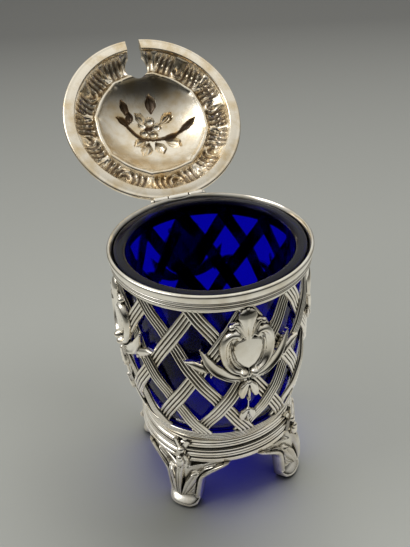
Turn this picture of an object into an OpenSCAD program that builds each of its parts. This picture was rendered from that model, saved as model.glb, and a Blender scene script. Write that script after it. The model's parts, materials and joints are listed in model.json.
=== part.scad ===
// Mustard pot: a pierced silver cage on four feet, a hinged lid and a lift-out glass liner.
// Sizes are in millimetres. The table is z = 0, the pot's axis is the Z axis, and its front faces -Y.

/* [Cage] */
// Outer diameter of the trellis where its wall is upright
cage_d = 54.8; // [50:0.2:60]
// Outer diameter of the trellis where it stands on the plinth
cage_foot_d = 45.2; // [43:0.2:47]
// Height at which the wall begins to curve in
bend_z = 50; // [47:0.5:56]
// Thickness of the pierced sheet
sheet = 1; // [0.8:0.1:1.4]
// Number of bands that wind each way round the cage
bands = 12; // [8:4:16]
// Width of one band, across it
band_w = 4.2; // [3:0.1:5.5]
// Rows of crossings from the rim to the plinth
rows = 4; // [3:1:5]
// Height of the plain border under the rim band
border_top = 0.9; // [0.6:0.1:1.5]
// Height of the plain border on the plinth
border_foot = 4.3; // [3.6:0.1:5]

/* [Rim] */
// Height of the rim's top above the table
rim_z = 81.4; // [76:0.2:88]
// Height of the moulded rim band
rim_band_h = 5; // [4.4:0.1:6]
// How far the rim's lip stands out from the cage
rim_overhang = 1.6; // [1.2:0.1:2.4]
// Radius of the rounded lip
lip_r = 1; // [0.8:0.05:1.1]
// Width of the rim's top, outside the step that the glass lip lies in
rim_wall = 1.5; // [1.4:0.05:1.7]

/* [Plinth and feet] */
// Height of the feet under the plinth
foot_h = 18.3; // [16:0.1:21]
// Height of the plinth
plinth_h = 7.7; // [6.5:0.1:9]
// How far the plinth's bowed sides stand out from the cage's foot
plinth_step = 1.4; // [1:0.1:2]
// How far the plinth's sides bow out between its corners
plinth_bow = 6.3; // [5.6:0.1:6.7]
// Rounded reeds in the plinth's side
reeds = 4; // [3:1:5]
// Length of a foot's wing along the plinth
wing_l = 13.3; // [11:0.1:15]
// Thickness of a foot's wing
wing_t = 2.2; // [1.6:0.1:3]
// Width of a foot's toe
toe_w = 10.2; // [9:0.2:12]
// How far a foot's knee stands out from the plinth's corner
knee_out = 3.8; // [3:0.1:4.4]

/* [Liner] */
// Thickness of the glass wall
glass_t = 2.4; // [2:0.1:3]
// Thickness of the glass floor
glass_floor = 4; // [3:0.2:6]
// Room between the glass and the cage
liner_gap = 0.4; // [0.3:0.05:0.8]
// Width of the ledge that carries the glass
ledge_w = 2.4; // [1.8:0.1:3]
// Height of the glass's turned-out lip
glass_lip_h = 1.4; // [1.2:0.1:1.8]
// How far the glass lies below the rim's top
glass_drop = 0.8; // [0.6:0.1:1.2]

/* [Lid] */
// Angle from shut at which the lid rests open
lid_open = 138; // [100:1:145]
// Width of the flat ring under the lid's edge
lid_ring_w = 3.8; // [3:0.1:4.4]
// Thickness of that ring
lid_ring_t = 1.5; // [1.2:0.1:2]
// Thickness of the lid's raised sheet
lid_sheet = 1; // [0.8:0.1:1.4]
// Diameter of the crease round the lid's crown
crease_d = 35; // [31:0.5:37]
// Height of the crease above the rim, on the inside
crease_z = 3.9; // [3:0.1:5]
// Height of the crown above the rim, on the inside
crown_z = 10.4; // [8:0.2:13]
// Rise of the fluted cove above a straight line
cove_rise = 1.9; // [1.2:0.1:2.4]
// Width of the spoon slot's neck
slot_w = 4.7; // [4.4:0.1:5.4]
// Diameter of the spoon slot's round end
slot_end_d = 7.6; // [6.5:0.1:8.5]
// Depth of the spoon slot from the lid's edge
slot_l = 12.2; // [11.5:0.1:13]

/* [Hinge] */
// Length of the hinge
hinge_l = 15.7; // [12:0.1:20]
// How far the hinge's axis lies outside the rim
hinge_out = 0.35; // [0.2:0.05:0.6]
// How far the hinge's axis lies below the rim's top
hinge_drop = 0.9; // [0.7:0.05:1.2]
// Outer diameter of a knuckle
knuckle_d = 2.6; // [2.2:0.1:2.8]
// Diameter of the hinge pin
pin_d = 1.2; // [0.9:0.05:1.4]
// Radial clearance of the pin in its knuckles
pin_gap = 0.04; // [0.02:0.01:0.08]

/* [Ornament] */
// Height of the cartouche's shield above the trellis
shield_h = 1.3; // [0.9:0.1:2]
// Diameter of the ring that the two scrolls bend along
scroll_d = 12.2; // [11:0.1:13]
// Thickness of a scroll
scroll_t = 2; // [1.6:0.1:2.4]
// Length of the palmette's middle leaf
palmette_l = 11; // [9.5:0.1:11.5]
// Length of the longer leaf of an acanthus spray
acanthus_l = 13.4; // [11:0.1:15]
// Length of one husk
husk_l = 7.4; // [6:0.1:8.5]
// Height of the leaves and husks above the trellis
leaf_h = 1.5; // [1:0.1:2.2]
// Diameter of one berry
berry_d = 2.4; // [1.8:0.1:3]
// Diameter of the flower's heart on the lid
flower_d = 6; // [4.5:0.1:7]
// Length of a leaf of the flower spray
spray_leaf_l = 8.4; // [6.5:0.1:9.5]
// Height of the flower spray above the lid
spray_h = 1.6; // [1:0.1:2.4]
// Width of the ribbon on the plinth's corners
ribbon_w = 1.6; // [1.2:0.1:2.2]
// Thickness of that ribbon
ribbon_t = 0.5; // [0.4:0.05:0.8]
// Film of solder between an ornament and what carries it
solder = 0.05; // [0.03:0.01:0.1]

/* [Hidden] */
$fn = 64;
SILVER = "#c9c4b8";
GLASS = [0.04, 0.04, 0.4, 0.6];
SIDES = ["front", "right", "back", "left"];
CORNERS = ["front_left", "front_right", "back_right", "back_left"];
TRIM = ["cartouche", "acanthus", "husk_drop"];
eps = 0.01;
reach = 60;            // longer than any cut needs to be

// Cage
cage_r = cage_d / 2;
cage_in_r = cage_r - sheet;
cage_foot_r = cage_foot_d / 2;
plinth_z = foot_h + plinth_h;
cage_top_z = rim_z - rim_band_h;
bend_drop = cage_r - cage_foot_r;
bend_run = bend_z - plinth_z;
bend_rho = (bend_drop * bend_drop + bend_run * bend_run) / (2 * bend_drop);
first_row_z = cage_top_z - 1.2 * border_top;
last_row_z = plinth_z + 1.3 * border_foot;
row_h = (first_row_z - last_row_z) / rows;
half_step = 180 / bands;

// Radius of the cage's outer wall at height z
function wall_r(z) = z >= bend_z ? cage_r : cage_r - bend_rho + sqrt(pow(bend_rho, 2) - pow(bend_z - z, 2));
// Height of a row of crossings, counted down from the rim
function row_z(t) = first_row_z - t * row_h;
// Half of a band's width at height z, as an angle round the axis
function band_half(z) = let (r = wall_r(z), lean = r * half_step * PI / 180 / row_h)
    band_w / 2 * sqrt(1 + lean * lean) / r * 180 / PI;

// Rim
rim_r = cage_r + rim_overhang;
rim_flat_r = rim_r - lip_r / 2;
rim_flat_z = rim_z - 0.7 * rim_band_h;
rim_bead_r = 0.11 * rim_band_h;

// Plinth: each side is an arc that bows out, struck from side_y behind the axis
plinth_mid_r = cage_foot_r + plinth_step;
corner_xy = plinth_mid_r - plinth_bow;
side_y = (2 * corner_xy * corner_xy - plinth_mid_r * plinth_mid_r) / (2 * plinth_bow);
side_rho = plinth_mid_r + side_y;
lip_h = 0.18 * plinth_h;
fillet_h = 0.1 * plinth_h;
reed_r = (plinth_h - lip_h - fillet_h) / (2 * reeds);
reed_in = plinth_step / (reeds + 1);

// Liner
seat_z = plinth_z - 2 * sheet;
liner_skin = sheet + liner_gap;
lip_gap = 0.3;
liner_foot_r = wall_r(seat_z) - liner_skin;
plinth_bore_r = liner_foot_r - ledge_w;
seat_r = wall_r(plinth_z) - sheet;
liner_top_z = rim_z - glass_drop;
liner_in_r = cage_r - liner_skin - glass_t;
glass_lip_r = 0.25 * glass_t;
step_r = rim_r - rim_wall;
step_z = liner_top_z - glass_lip_h - lip_gap;

// Lid, in its shut place
lid_gap = 0.15;
lid_z = rim_z + lid_gap;
lid_ring_in_r = rim_r - lid_ring_w;
crease_r = crease_d / 2;
cove_r = lid_ring_in_r - 0.2;
cap_rise = crown_z - crease_z;
cap_rho = (crease_r * crease_r + cap_rise * cap_rise) / (2 * cap_rise);
cove_chord = norm([cove_r - crease_r, crease_z - lid_ring_t]);
cove_rho = (cove_chord * cove_chord / 4 + cove_rise * cove_rise) / (2 * cove_rise);
cove_lean = atan2(crease_z - lid_ring_t, cove_r - crease_r);
cove_mid = [(cove_r + crease_r) / 2, (crease_z + lid_ring_t) / 2];
cove_centre = cove_mid - (cove_rho - cove_rise) * [sin(cove_lean), cos(cove_lean)];
slot_end_r = slot_end_d / 2;
slot_y = rim_r - slot_l + slot_end_r;

// Height of the lid's underside over the rim at radius r
function lid_under(r) = r <= crease_r ? crown_z - cap_rho + sqrt(cap_rho * cap_rho - r * r)
    : r < cove_r ? cove_centre[1] + sqrt(pow(cove_rho, 2) - pow(r - cove_centre[0], 2)) : lid_ring_t;
lid_radii = concat([for (i = [0:14]) crease_r * sin(90 * i / 14)],
    [for (i = [1:12]) crease_r + (cove_r - crease_r) * i / 12]);

// Hinge
knuckle_r = knuckle_d / 2;
hinge_y = rim_r + hinge_out;
hinge_z = rim_z - hinge_drop;
knuckle_gap = 0.12;
swing_gap = 0.3;
mid_knuckle_l = 0.4 * hinge_l;
hinge_leaf_t = 0.35 * knuckle_d;

// Ornament places on the wall
cartouche_z = first_row_z - 1.2 * row_h;
scroll_r = scroll_d / 2;
scroll_bar = scroll_t / 2;
scroll_head = 122;
scroll_tail = 250;
berry_x = 0.62 * berry_d;
berry_drop = scroll_r + 0.7 * scroll_bar;
husk_zs = [row_z(2) - 0.15 * row_h, row_z(3) - 0.12 * row_h];

// The area inside the cage's outer wall, taken in by d, from z_lo to z_hi, for turning about the axis
module wall_area(d, z_lo, z_hi) {
    translate([0, bend_z]) square([cage_r - d, z_hi - bend_z]);
    intersection() {
        translate([cage_r - bend_rho, bend_z]) circle(bend_rho - d, $fn = 256);
        translate([0, z_lo]) square([cage_r, bend_z - z_lo]);
    }
}

// A layer on the cage's wall, from d_in to d_out outside it
module wall_layer(d_in, d_out) {
    rotate_extrude() difference() {
        wall_area(-d_out, plinth_z, cage_top_z);
        wall_area(-d_in, plinth_z - eps, cage_top_z + eps);
    }
}

// Cuts or fills a drawn outline, seen from the front, through the front wall
module through_front(from_y = 0) {
    translate([0, -from_y, 0]) rotate([90, 0, 0]) linear_extrude(reach) children();
}

// One opening of the trellis, centred on row t
module window(t) {
    z = row_z(t);
    up = 1 - band_half(row_z(t - 1)) / half_step;
    down = 1 - band_half(row_z(t + 1)) / half_step;
    side = wall_r(z) * sin(half_step - band_half(z));
    intersection() {
        polygon([[side, z], [0, row_z(t - up)], [-side, z], [0, row_z(t + down)]]);
        translate([-side, plinth_z + border_foot])
            square([2 * side, cage_top_z - border_top - plinth_z - border_foot]);
    }
}

// The pierced and rolled trellis of the cage
module trellis() {
    color(SILVER) difference() {
        rotate_extrude() difference() {
            wall_area(0, plinth_z, cage_top_z);
            wall_area(sheet, plinth_z - eps, cage_top_z + eps);
        }
        for (t = [0:rows], k = [0:bands - 1])
            rotate([0, 0, (k + (t % 2 == 0 ? 0.5 : 0)) * 2 * half_step])
                through_front(cage_foot_r / 2) window(t);
    }
}

// The moulded band soldered on the trellis: lip, flat, quirk and bead, cut for the glass lip and the hinge
module rim_band() {
    color(SILVER) difference() {
        rotate_extrude() {
            translate([cage_in_r, cage_top_z]) square([rim_r - lip_r - cage_in_r, rim_band_h]);
            translate([rim_r - lip_r, rim_z - lip_r]) circle(lip_r);
            translate([cage_in_r, rim_flat_z]) square([rim_flat_r - cage_in_r, rim_z - lip_r - rim_flat_z]);
            translate([rim_r - lip_r, cage_top_z + 1.4 * rim_bead_r]) circle(rim_bead_r);
        }
        translate([0, 0, step_z]) cylinder(r = step_r, h = reach);
        along_hinge(knuckle_r + solder, hinge_l + 2 * knuckle_gap);
        along_hinge(knuckle_r + swing_gap, mid_knuckle_l + 2 * knuckle_gap);
    }
}

// The section of a plinth side about the centre of that side's arc
module plinth_section() {
    translate([0, foot_h]) square([side_rho - reed_in * reeds - reed_r, plinth_h]);
    translate([0, foot_h]) square([side_rho, lip_h]);
    translate([0, plinth_z - fillet_h]) square([side_rho - reed_in * reeds, fillet_h]);
    for (i = [0:reeds - 1]) {
        z = foot_h + lip_h + reed_r * (2 * i + 1);
        r = side_rho - reed_in * (i + 0.4);
        translate([0, z - reed_r]) square([r - reed_r, 2 * reed_r]);
        translate([r - reed_r, z]) circle(reed_r);
    }
}

// The wedge between the two diagonals at the front
module front_wedge(z_lo, z_hi) {
    translate([0, 0, z_lo]) linear_extrude(z_hi - z_lo) polygon([[0, 0], [-reach, -reach], [reach, -reach]]);
}

// The whole plinth, with no bore
module plinth_block() {
    for (k = [0:3]) rotate([0, 0, 90 * k]) intersection() {
        translate([0, side_y, 0]) rotate_extrude($fn = 128) plinth_section();
        front_wedge(foot_h - 1, plinth_z + 1);
    }
}

// The reeded plinth, bored for light, with a ledge for the glass
module plinth() {
    color(SILVER) difference() {
        plinth_block();
        translate([0, 0, foot_h - 1]) cylinder(r = plinth_bore_r, h = plinth_h + 2);
        translate([0, 0, seat_z]) cylinder(r = seat_r, h = plinth_h);
    }
}

// Crossed ribbons over the reeds at the front left corner, bent round it
module ribbon_tie() {
    cross = 22;
    low_z = foot_h + lip_h;
    high_z = plinth_z - fillet_h;
    low_r = side_rho + 0.1 * reed_in + 2 * solder;
    high_r = low_r - reed_in * reeds;
    color(SILVER) intersection() {
        for (k = [0, 3]) rotate([0, 0, 90 * k]) intersection() {
            translate([0, side_y, 0]) rotate_extrude($fn = 128)
                polygon([[low_r, low_z], [low_r + ribbon_t, low_z],
                    [high_r + ribbon_t, high_z], [high_r, high_z]]);
            front_wedge(foot_h, plinth_z);
        }
        translate([0, 0, (low_z + high_z) / 2]) rotate([0, 0, -45]) for (a = [-cross, cross])
            rotate([0, a, 0]) translate([-ribbon_w / 2, -reach, -plinth_h])
                cube([ribbon_w, reach - corner_xy, 2 * plinth_h]);
    }
}

// The outline of a foot's wing, from the corner along a side, with a gap under the plinth
module wing_outline() {
    ankle = 0.37 * wing_l;
    ankle_z = 0.5 * foot_h;
    tip_z = 0.91 * foot_h;
    polygon(concat(
        [[-wing_t, 0.88 * foot_h], [-wing_t, 0.25 * foot_h], [0.8 * ankle, 0.25 * foot_h], [ankle, ankle_z]],
        [for (a = [75:-15:0]) [wing_l - (wing_l - ankle) * sin(a), ankle_z + (tip_z - ankle_z) * cos(a)]],
        [[wing_l, foot_h], [0.42 * wing_l, foot_h]]
    ));
}

// One wing of the front left foot, along the front side, following the plinth's bow
module foot_wing() {
    outer = side_rho - 0.2 * wing_t;
    intersection() {
        translate([-corner_xy, 0, 0]) through_front() wing_outline();
        translate([0, side_y, 0]) difference() {
            cylinder(r = outer, h = foot_h, $fn = 128);
            translate([0, 0, -1]) cylinder(r = outer - wing_t, h = foot_h + 2, $fn = 128);
        }
        front_wedge(-1, foot_h + 1);
    }
}

// A level slice of a foot's knee: the leaf's ridge in front, half_w to each side behind it
module knee_slice(z, front, half_w) {
    ridge = 0.16 * toe_w;
    translate([0, 0, z]) linear_extrude(eps) polygon([
        [-half_w, wing_t], [-half_w, 0], [-ridge, -front],
        [ridge, -front], [half_w, 0], [half_w, wing_t]
    ]);
}

// The front left foot: two wings, a knee that stands out over the ankle, a rounded toe that stands flat
module foot() {
    toe_r = 0.17 * foot_h;
    toe_span = toe_w / 2 - toe_r;
    toe_in = wing_t / 2;
    color(SILVER) {
        foot_wing();
        rotate([0, 0, -90]) mirror([1, 0, 0]) foot_wing();
        rotate([0, 0, -45]) translate([0, -corner_xy * sqrt(2), 0]) {
            translate([0, toe_in, 0]) difference() {
                translate([0, 0, 0.85 * toe_r]) {
                    for (s = [-1, 1]) translate([s * toe_span, 0, 0]) sphere(toe_r);
                    rotate([0, 90, 0]) cylinder(r = toe_r, h = 2 * toe_span, center = true);
                }
                translate([-reach, -reach, -reach]) cube([2 * reach, 2 * reach, reach]);
            }
            hull() {
                knee_slice(toe_r, toe_r - toe_in, toe_span);
                knee_slice(0.42 * foot_h, knee_out, toe_w / 2);
                knee_slice(0.8 * foot_h, 0.87 * knee_out, 0.9 * toe_w / 2);
                knee_slice(foot_h - eps, 0.5 * knee_out, toe_w / 4);
            }
        }
    }
}

// A curled scroll: a round bar along an arc about the origin, with a larger ball for the curl at its head
module scroll(head, tail) {
    rotate([0, 0, head]) rotate_extrude(angle = tail - head) translate([scroll_r, 0]) circle(scroll_bar);
    for (end = [[head, 1.5], [tail, 1.2]])
        rotate([0, 0, end[0]]) translate([scroll_r, 0, 0]) sphere(end[1] * scroll_bar);
}

// A pointed leaf from the origin, up
module leaf_outline(l, w) {
    polygon(concat([for (i = [0:8]) [w / 2 * sin(22.5 * i), l * i / 8]],
        [for (i = [7:-1:1]) [-w / 2 * sin(22.5 * i), l * i / 8]]));
}

// The shield and its frame at the front: two scrolls, a palmette above and two berries below
module cartouche() {
    berry_r = berry_d / 2;
    face_y = -cage_r - scroll_bar / 2;
    color(SILVER) {
        intersection() {
            through_front() translate([0, cartouche_z]) {
                circle(scroll_r);
                for (a = [-24, 0, 24]) translate([0, 0.4 * scroll_r]) rotate(a)
                    leaf_outline(palmette_l * (a == 0 ? 1 : 0.8), 0.4 * palmette_l);
            }
            wall_layer(solder, shield_h);
        }
        difference() {
            translate([0, face_y, cartouche_z]) rotate([90, 0, 0]) for (m = [0, 1]) mirror([m, 0, 0]) {
                scroll(scroll_head, scroll_tail);
                translate([-berry_x, -berry_drop, 0.4 * scroll_bar]) sphere(berry_r);
            }
            rotate_extrude() wall_area(-solder, plinth_z, cage_top_z);
        }
    }
}

// The acanthus sprays that spread from under the cartouche at the front
module acanthus() {
    clear = 0.12;
    color(SILVER) difference() {
        intersection() {
            through_front() translate([0, cartouche_z - scroll_r]) for (m = [0, 1]) mirror([m, 0]) {
                translate([0.43 * scroll_r, -0.36 * scroll_r]) rotate(-45)
                    leaf_outline(acanthus_l, 0.34 * acanthus_l);
                translate([0.75 * scroll_r, -0.33 * scroll_r]) rotate(-66)
                    leaf_outline(0.94 * acanthus_l, 0.25 * acanthus_l);
            }
            wall_layer(solder, leaf_h);
        }
        translate([0, 0, cartouche_z]) rotate([90, 0, 0]) {
            cylinder(r = scroll_r + scroll_bar + clear, h = reach);
            for (s = [-1, 1]) translate([s * berry_x, -berry_drop, 0])
                cylinder(r = berry_d / 2 + clear, h = reach);
        }
    }
}

// The drop of two husks and their stem, down the front
module husk_drop() {
    stem_w = 0.14 * husk_l;
    color(SILVER) intersection() {
        through_front() {
            for (z = husk_zs) translate([0, z]) for (a = [152, 180, 208]) rotate(a)
                leaf_outline(husk_l, 0.38 * husk_l);
            translate([-stem_w / 2, husk_zs[1] - 2 * stem_w]) square([stem_w, husk_zs[0] - husk_zs[1]]);
        }
        wall_layer(solder, leaf_h);
    }
}

// The cobalt glass liner, with a rounded lip that turns out over the cage
module glass_liner() {
    out_r = step_r - lip_gap;
    round_z = liner_top_z - glass_lip_r;
    color(GLASS) rotate_extrude() {
        difference() {
            wall_area(liner_skin, seat_z, round_z);
            wall_area(liner_skin + glass_t, seat_z + glass_floor, liner_top_z + 1);
        }
        translate([liner_in_r, liner_top_z - glass_lip_h])
            square([out_r - liner_in_r, glass_lip_h - glass_lip_r]);
        translate([liner_in_r + glass_lip_r, round_z - eps])
            square([out_r - liner_in_r - 2 * glass_lip_r, glass_lip_r + eps]);
        for (r = [liner_in_r + glass_lip_r, out_r - glass_lip_r]) translate([r, round_z]) circle(glass_lip_r);
    }
}

// Turns what is drawn shut to the open place
module opened() {
    translate([0, hinge_y, hinge_z]) rotate([-lid_open, 0, 0]) translate([0, -hinge_y, -hinge_z]) children();
}

// The spoon slot through the shut lid, at the front
module spoon_slot() {
    translate([0, -slot_y, lid_z - 1]) cylinder(r = slot_end_r, h = reach);
    translate([-slot_w / 2, -slot_y - reach, lid_z - 1]) cube([slot_w, reach, reach]);
}

// The space under the lid's outer face, raised by d
module under_lid(d) {
    translate([0, 0, lid_z]) rotate_extrude() polygon(concat(
        [[0, 0]], [for (r = lid_radii) [r, lid_under(r) + lid_sheet + d]], [[cove_r, 0]]));
}

// The flat ring under the lid's edge
module lid_ring() {
    bead_r = lid_ring_t / 2;
    color(SILVER) opened() difference() {
        translate([0, 0, lid_z]) rotate_extrude() {
            translate([lid_ring_in_r, 0]) square([lid_ring_w - bead_r, lid_ring_t]);
            translate([rim_r - bead_r, bead_r]) circle(bead_r);
        }
        spoon_slot();
        along_hinge(knuckle_r + swing_gap, hinge_l + 4 * swing_gap);
    }
}

// The raised lid: a brim on the ring, the cove and the domed crown
module lid_crown() {
    brim_r = rim_r - lid_ring_t;
    color(SILVER) opened() difference() {
        translate([0, 0, lid_z]) rotate_extrude() polygon(concat(
            [for (r = lid_radii) [r, lid_under(r)]], [[brim_r, lid_ring_t], [brim_r, lid_ring_t + lid_sheet]],
            [for (i = [len(lid_radii) - 1:-1:0]) [lid_radii[i], lid_under(lid_radii[i]) + lid_sheet]]));
        spoon_slot();
    }
}

// The flower and leaves raised on the crown
module lid_spray() {
    flower_r = flower_d / 2;
    color(SILVER) opened() {
        difference() {
            intersection() {
                translate([0, 0, lid_z]) linear_extrude(reach) {
                    for (a = [0:72:359]) rotate(a) translate([0, 0.9 * flower_r]) circle(0.62 * flower_r);
                    circle(flower_r);
                    for (a = [-100, -72, 72, 100, 150, 205]) rotate(a) translate([0, flower_r])
                        leaf_outline(spray_leaf_l, 0.4 * spray_leaf_l);
                    translate([0, flower_r]) leaf_outline(0.76 * spray_leaf_l, 0.43 * spray_leaf_l);
                }
                under_lid(spray_h);
            }
            under_lid(solder);
        }
        translate([0, 0, lid_z + crown_z + lid_sheet + 0.75 * spray_h]) difference() {
            sphere(0.7 * flower_r);
            translate([0, 0, -flower_r]) cube(2 * flower_r, center = true);
        }
    }
}

// A round bar along the hinge's axis, centred on the pot's middle
module along_hinge(r, l) {
    translate([0, hinge_y, hinge_z]) rotate([0, 90, 0]) cylinder(r = r, h = l, center = true);
}
module pin_bore() {
    along_hinge(pin_d / 2 + pin_gap, 2 * reach);
}

// The leaf on the rim: two outer knuckles on a plate that fits under the lip
module hinge_body_leaf() {
    mid_l = mid_knuckle_l + 2 * knuckle_gap;
    lip_z = rim_z - lip_r;
    color(SILVER) difference() {
        union() {
            along_hinge(knuckle_r, hinge_l);
            difference() {
                translate([-hinge_l / 2, cage_r, rim_flat_z])
                    cube([hinge_l, rim_r + hinge_leaf_t - cage_r, hinge_z - rim_flat_z]);
                translate([0, 0, lip_z - reach]) cylinder(r = rim_flat_r + solder, h = reach, $fn = 128);
                rotate_extrude($fn = 128) translate([rim_r - lip_r, lip_z]) circle(lip_r + solder);
            }
        }
        translate([-mid_l / 2, 0, hinge_z - knuckle_r - swing_gap]) cube([mid_l, reach, reach]);
        pin_bore();
    }
}

// The leaf on the lid: the middle knuckle and a tab up the edge of the lid's ring
module hinge_lid_leaf() {
    color(SILVER) opened() difference() {
        union() {
            along_hinge(knuckle_r, mid_knuckle_l);
            difference() {
                translate([-mid_knuckle_l / 2, cage_r, hinge_z])
                    cube([mid_knuckle_l, rim_r + hinge_leaf_t - cage_r, lid_z + lid_ring_t - hinge_z]);
                translate([0, 0, hinge_z - 1]) cylinder(r = rim_r + solder, h = reach, $fn = 128);
            }
        }
        pin_bore();
    }
}

// The pin, with a domed head at each end
module hinge_pin() {
    pin_r = pin_d / 2;
    head_out = 0.7 * pin_r;
    color(SILVER) {
        along_hinge(pin_r, hinge_l + 2 * head_out);
        for (s = [-1, 1]) translate([s * (hinge_l / 2 + head_out), hinge_y, hinge_z]) sphere(1.2 * pin_r);
    }
}

rim_band();
trellis();
plinth();
glass_liner();
hinge_body_leaf();
hinge_pin();
hinge_lid_leaf();
lid_ring();
lid_crown();
lid_spray();
for (k = [0:3]) rotate([0, 0, 90 * k]) {
    foot();
    ribbon_tie();
    cartouche();
    acanthus();
    husk_drop();
}
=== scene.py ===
# %% [markdown]
# # A silver mustard pot, dressed for its portrait
# The pot is a pierced silver cage round a blue glass liner, with a hinged lid that lies open. The
# construction comes from the CAD model, which is loaded here as a fixed frame. Everything below gives that
# frame its looks: each piece is modelled in millimetres, in its place, and brought to metres at the end.

# %% The frame
import json
import math

import bmesh
import bpy
import numpy as np
from mathutils import Matrix, Vector


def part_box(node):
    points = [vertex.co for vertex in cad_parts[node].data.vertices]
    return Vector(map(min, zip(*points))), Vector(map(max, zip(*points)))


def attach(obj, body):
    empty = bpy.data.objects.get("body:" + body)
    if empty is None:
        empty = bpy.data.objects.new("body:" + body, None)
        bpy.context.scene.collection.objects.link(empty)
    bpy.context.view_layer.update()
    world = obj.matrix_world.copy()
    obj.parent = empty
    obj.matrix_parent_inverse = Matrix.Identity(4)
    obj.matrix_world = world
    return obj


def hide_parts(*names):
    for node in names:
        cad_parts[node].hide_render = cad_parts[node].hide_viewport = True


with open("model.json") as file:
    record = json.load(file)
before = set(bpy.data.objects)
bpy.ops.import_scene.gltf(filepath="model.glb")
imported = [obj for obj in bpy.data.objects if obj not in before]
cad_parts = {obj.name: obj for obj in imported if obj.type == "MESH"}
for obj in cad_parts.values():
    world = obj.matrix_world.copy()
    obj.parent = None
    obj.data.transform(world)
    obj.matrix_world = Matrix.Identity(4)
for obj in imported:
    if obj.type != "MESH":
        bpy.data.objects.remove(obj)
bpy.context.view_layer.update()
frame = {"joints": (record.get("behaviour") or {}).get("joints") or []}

MM = 0.001

# %% [markdown]
# ## The camera
# The photograph's camera was found by matching the rim's ellipse, the crossings of the trellis and the lid.
# A tracking constraint could aim it, but three directions, right, up and back, also give its small tilt.

# %% Camera
PHOTO_H = 547
FOCAL_PX = 735
# Turns are in radians and lengths in millimetres.
AZIMUTH, ELEVATION, TILT = -0.3112, 0.5707, -0.0488
DISTANCE = 211.8
TARGET = Vector((-1.75, 0.6, 69.8))

level_reach = math.cos(ELEVATION)
back = Vector((math.sin(AZIMUTH) * level_reach, -math.cos(AZIMUTH) * level_reach, math.sin(ELEVATION)))
level = Vector((0, 0, 1)).cross(back).normalized()
rise = back.cross(level)
right = level * math.cos(TILT) + rise * math.sin(TILT)
up = rise * math.cos(TILT) - level * math.sin(TILT)
scene = bpy.context.scene


def add_object(name, data):
    made = bpy.data.objects.new(name, data)
    scene.collection.objects.link(made)
    return made


lens = bpy.data.cameras.new("camera")
lens.sensor_width = 36
lens.lens = lens.sensor_width * FOCAL_PX / PHOTO_H
lens.clip_start = 0.01
camera = add_object("camera", lens)
camera_turn = Matrix((right, up, back)).transposed().to_4x4()
camera.matrix_world = Matrix.Translation((TARGET + back * DISTANCE) * MM) @ camera_turn
scene.camera = camera
print("camera at", [round(c, 4) for c in camera.location])

# %% [markdown]
# ## Sizes
# Radii and heights are read from the boxes of the CAD nodes, so that a piece can't drift from its place. The
# few that a box can't show, such as where the wall starts to curve in, are repeated here by name.

# %% Sizes in millimetres
def box_mm(node):
    low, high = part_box(node)
    return low / MM, high / MM


(_, _, cage_top_z), (rim_r, _, rim_z) = box_mm("rim_band")
(_, _, plinth_z), (cage_r, _, _) = box_mm("trellis")
(_, _, foot_h), (plinth_mid_r, _, _) = box_mm("plinth")
(_, _, liner_low_z), (lip_out_r, _, liner_top_z) = box_mm("glass_liner")
hinge = frame["joints"][0]
hinge_y, hinge_z = hinge["pos_m"][1] / MM, hinge["pos_m"][2] / MM
pin_at = Vector((0, hinge_y, hinge_z))
lid_open = math.radians(hinge["range_deg"][1])

BEND_Z = 50.0
CAGE_FOOT_R = 22.6
CAGE_WALL = 1.0
BANDS, ROWS = 12, 4
BAND_W = 4.2
BORDER_H = 4.3
TOP_CROSSING, LAST_CROSSING = 1.1, 1.3 * BORDER_H
bend_in = cage_r - CAGE_FOOT_R
bend_rho = (bend_in ** 2 + (BEND_Z - plinth_z) ** 2) / (2 * bend_in)
first_row_z = cage_top_z - TOP_CROSSING
row_h = (first_row_z - plinth_z - LAST_CROSSING) / ROWS
half_step = math.pi / BANDS
print("rim radius", round(rim_r, 2), "row height", round(row_h, 2))
print("hinge at", round(hinge_y, 2), round(hinge_z, 2))

# %% [markdown]
# ## Silver, silver gilt and cobalt glass
# Cast and polished silver is a bright, slightly warm mirror. What gives an old piece its drawing is the
# black oxide that polishing never reaches, in every groove. It could be painted by hand; here an ambient
# occlusion node finds the hollows, and an attribute of the mesh adds more dark where a piece asks for it:
# tarnish in the lid's hollows, and painted shade on the plinth's underside. Gilding tarnishes browner.
# Cobalt glass is clear glass that lets only blue through.

# %% Material tools
def srgb(code):
    channels = [int(code[i:i + 2], 16) / 255 for i in (1, 3, 5)]
    return tuple(c / 12.92 if c <= 0.04045 else ((c + 0.055) / 1.055) ** 2.4 for c in channels) + (1.0,)


def fill(tree, node, inputs):
    for socket, value in inputs.items():
        if isinstance(value, bpy.types.NodeSocket):
            tree.links.new(value, node.inputs[socket])
        else:
            node.inputs[socket].default_value = value


def add_node(tree, kind, inputs=None, **settings):
    made = tree.nodes.new("ShaderNode" + kind)
    for key, value in settings.items():
        setattr(made, key, value)
    fill(tree, made, inputs or {})
    return made.outputs


def new_material(name):
    material = bpy.data.materials.new(name)
    material.use_nodes = True
    return material, material.node_tree, material.node_tree.nodes["Principled BSDF"]


# %% Metals
PATCH_MM = 5.0
# Real rubbing marks are finer; these are drawn wide enough to show.
MARK_MM, MARK_DEPTH_MM = 0.25, 0.1
OXIDE_ROUGHNESS = 0.5
AO_SAMPLES = 12


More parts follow.
